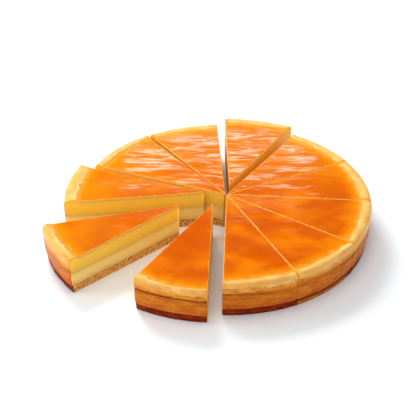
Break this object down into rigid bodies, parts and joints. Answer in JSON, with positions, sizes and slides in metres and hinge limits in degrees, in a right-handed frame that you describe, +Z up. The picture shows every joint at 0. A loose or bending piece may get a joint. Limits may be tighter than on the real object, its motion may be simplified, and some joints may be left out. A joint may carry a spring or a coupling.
{
  "type": "baked cheesecake",
  "caption": "Round baked cheesecake on a thin pastry base with a glossy orange jelly glaze inside a golden browned rim, cut into wedge slices that have slid slightly apart.",
  "frame": {"origin": "middle of the footprint's bounding box, on the underside of the pastry base", "axes": "+Z up through the layers; -Y is the side where the fronts of the slices face the viewer"},
  "size_m": [0.3102, 0.3038, 0.04],
  "materials": {
    "base": "crumbly baked pastry, dark brown outside and golden brown where it is cut",
    "lower": "pale moist curd filling, browned and wrinkled outside",
    "upper": "yellow moist curd filling with a golden baked rim",
    "glaze": "glossy translucent orange jelly with a gently rippled surface"
  },
  "bodies": {
    "root": {"base_01": "base", "lower_01": "lower", "upper_01": "upper", "glaze_01": "glaze", "base_02": "base", "lower_02": "lower", "upper_02": "upper", "glaze_02": "glaze", "base_03": "base", "lower_03": "lower", "upper_03": "upper", "glaze_03": "glaze", "base_04": "base", "lower_04": "lower", "upper_04": "upper", "glaze_04": "glaze", "base_05": "base", "lower_05": "lower", "upper_05": "upper", "glaze_05": "glaze", "base_06": "base", "lower_06": "lower", "upper_06": "upper", "glaze_06": "glaze", "base_07": "base", "lower_07": "lower", "upper_07": "upper", "glaze_07": "glaze", "base_08": "base", "lower_08": "lower", "upper_08": "upper", "glaze_08": "glaze", "base_09": "base", "lower_09": "lower", "upper_09": "upper", "glaze_09": "glaze", "base_10": "base", "lower_10": "lower", "upper_10": "upper", "glaze_10": "glaze", "base_11": "base", "lower_11": "lower", "upper_11": "upper", "glaze_11": "glaze"}
  },
  "joints": []
}
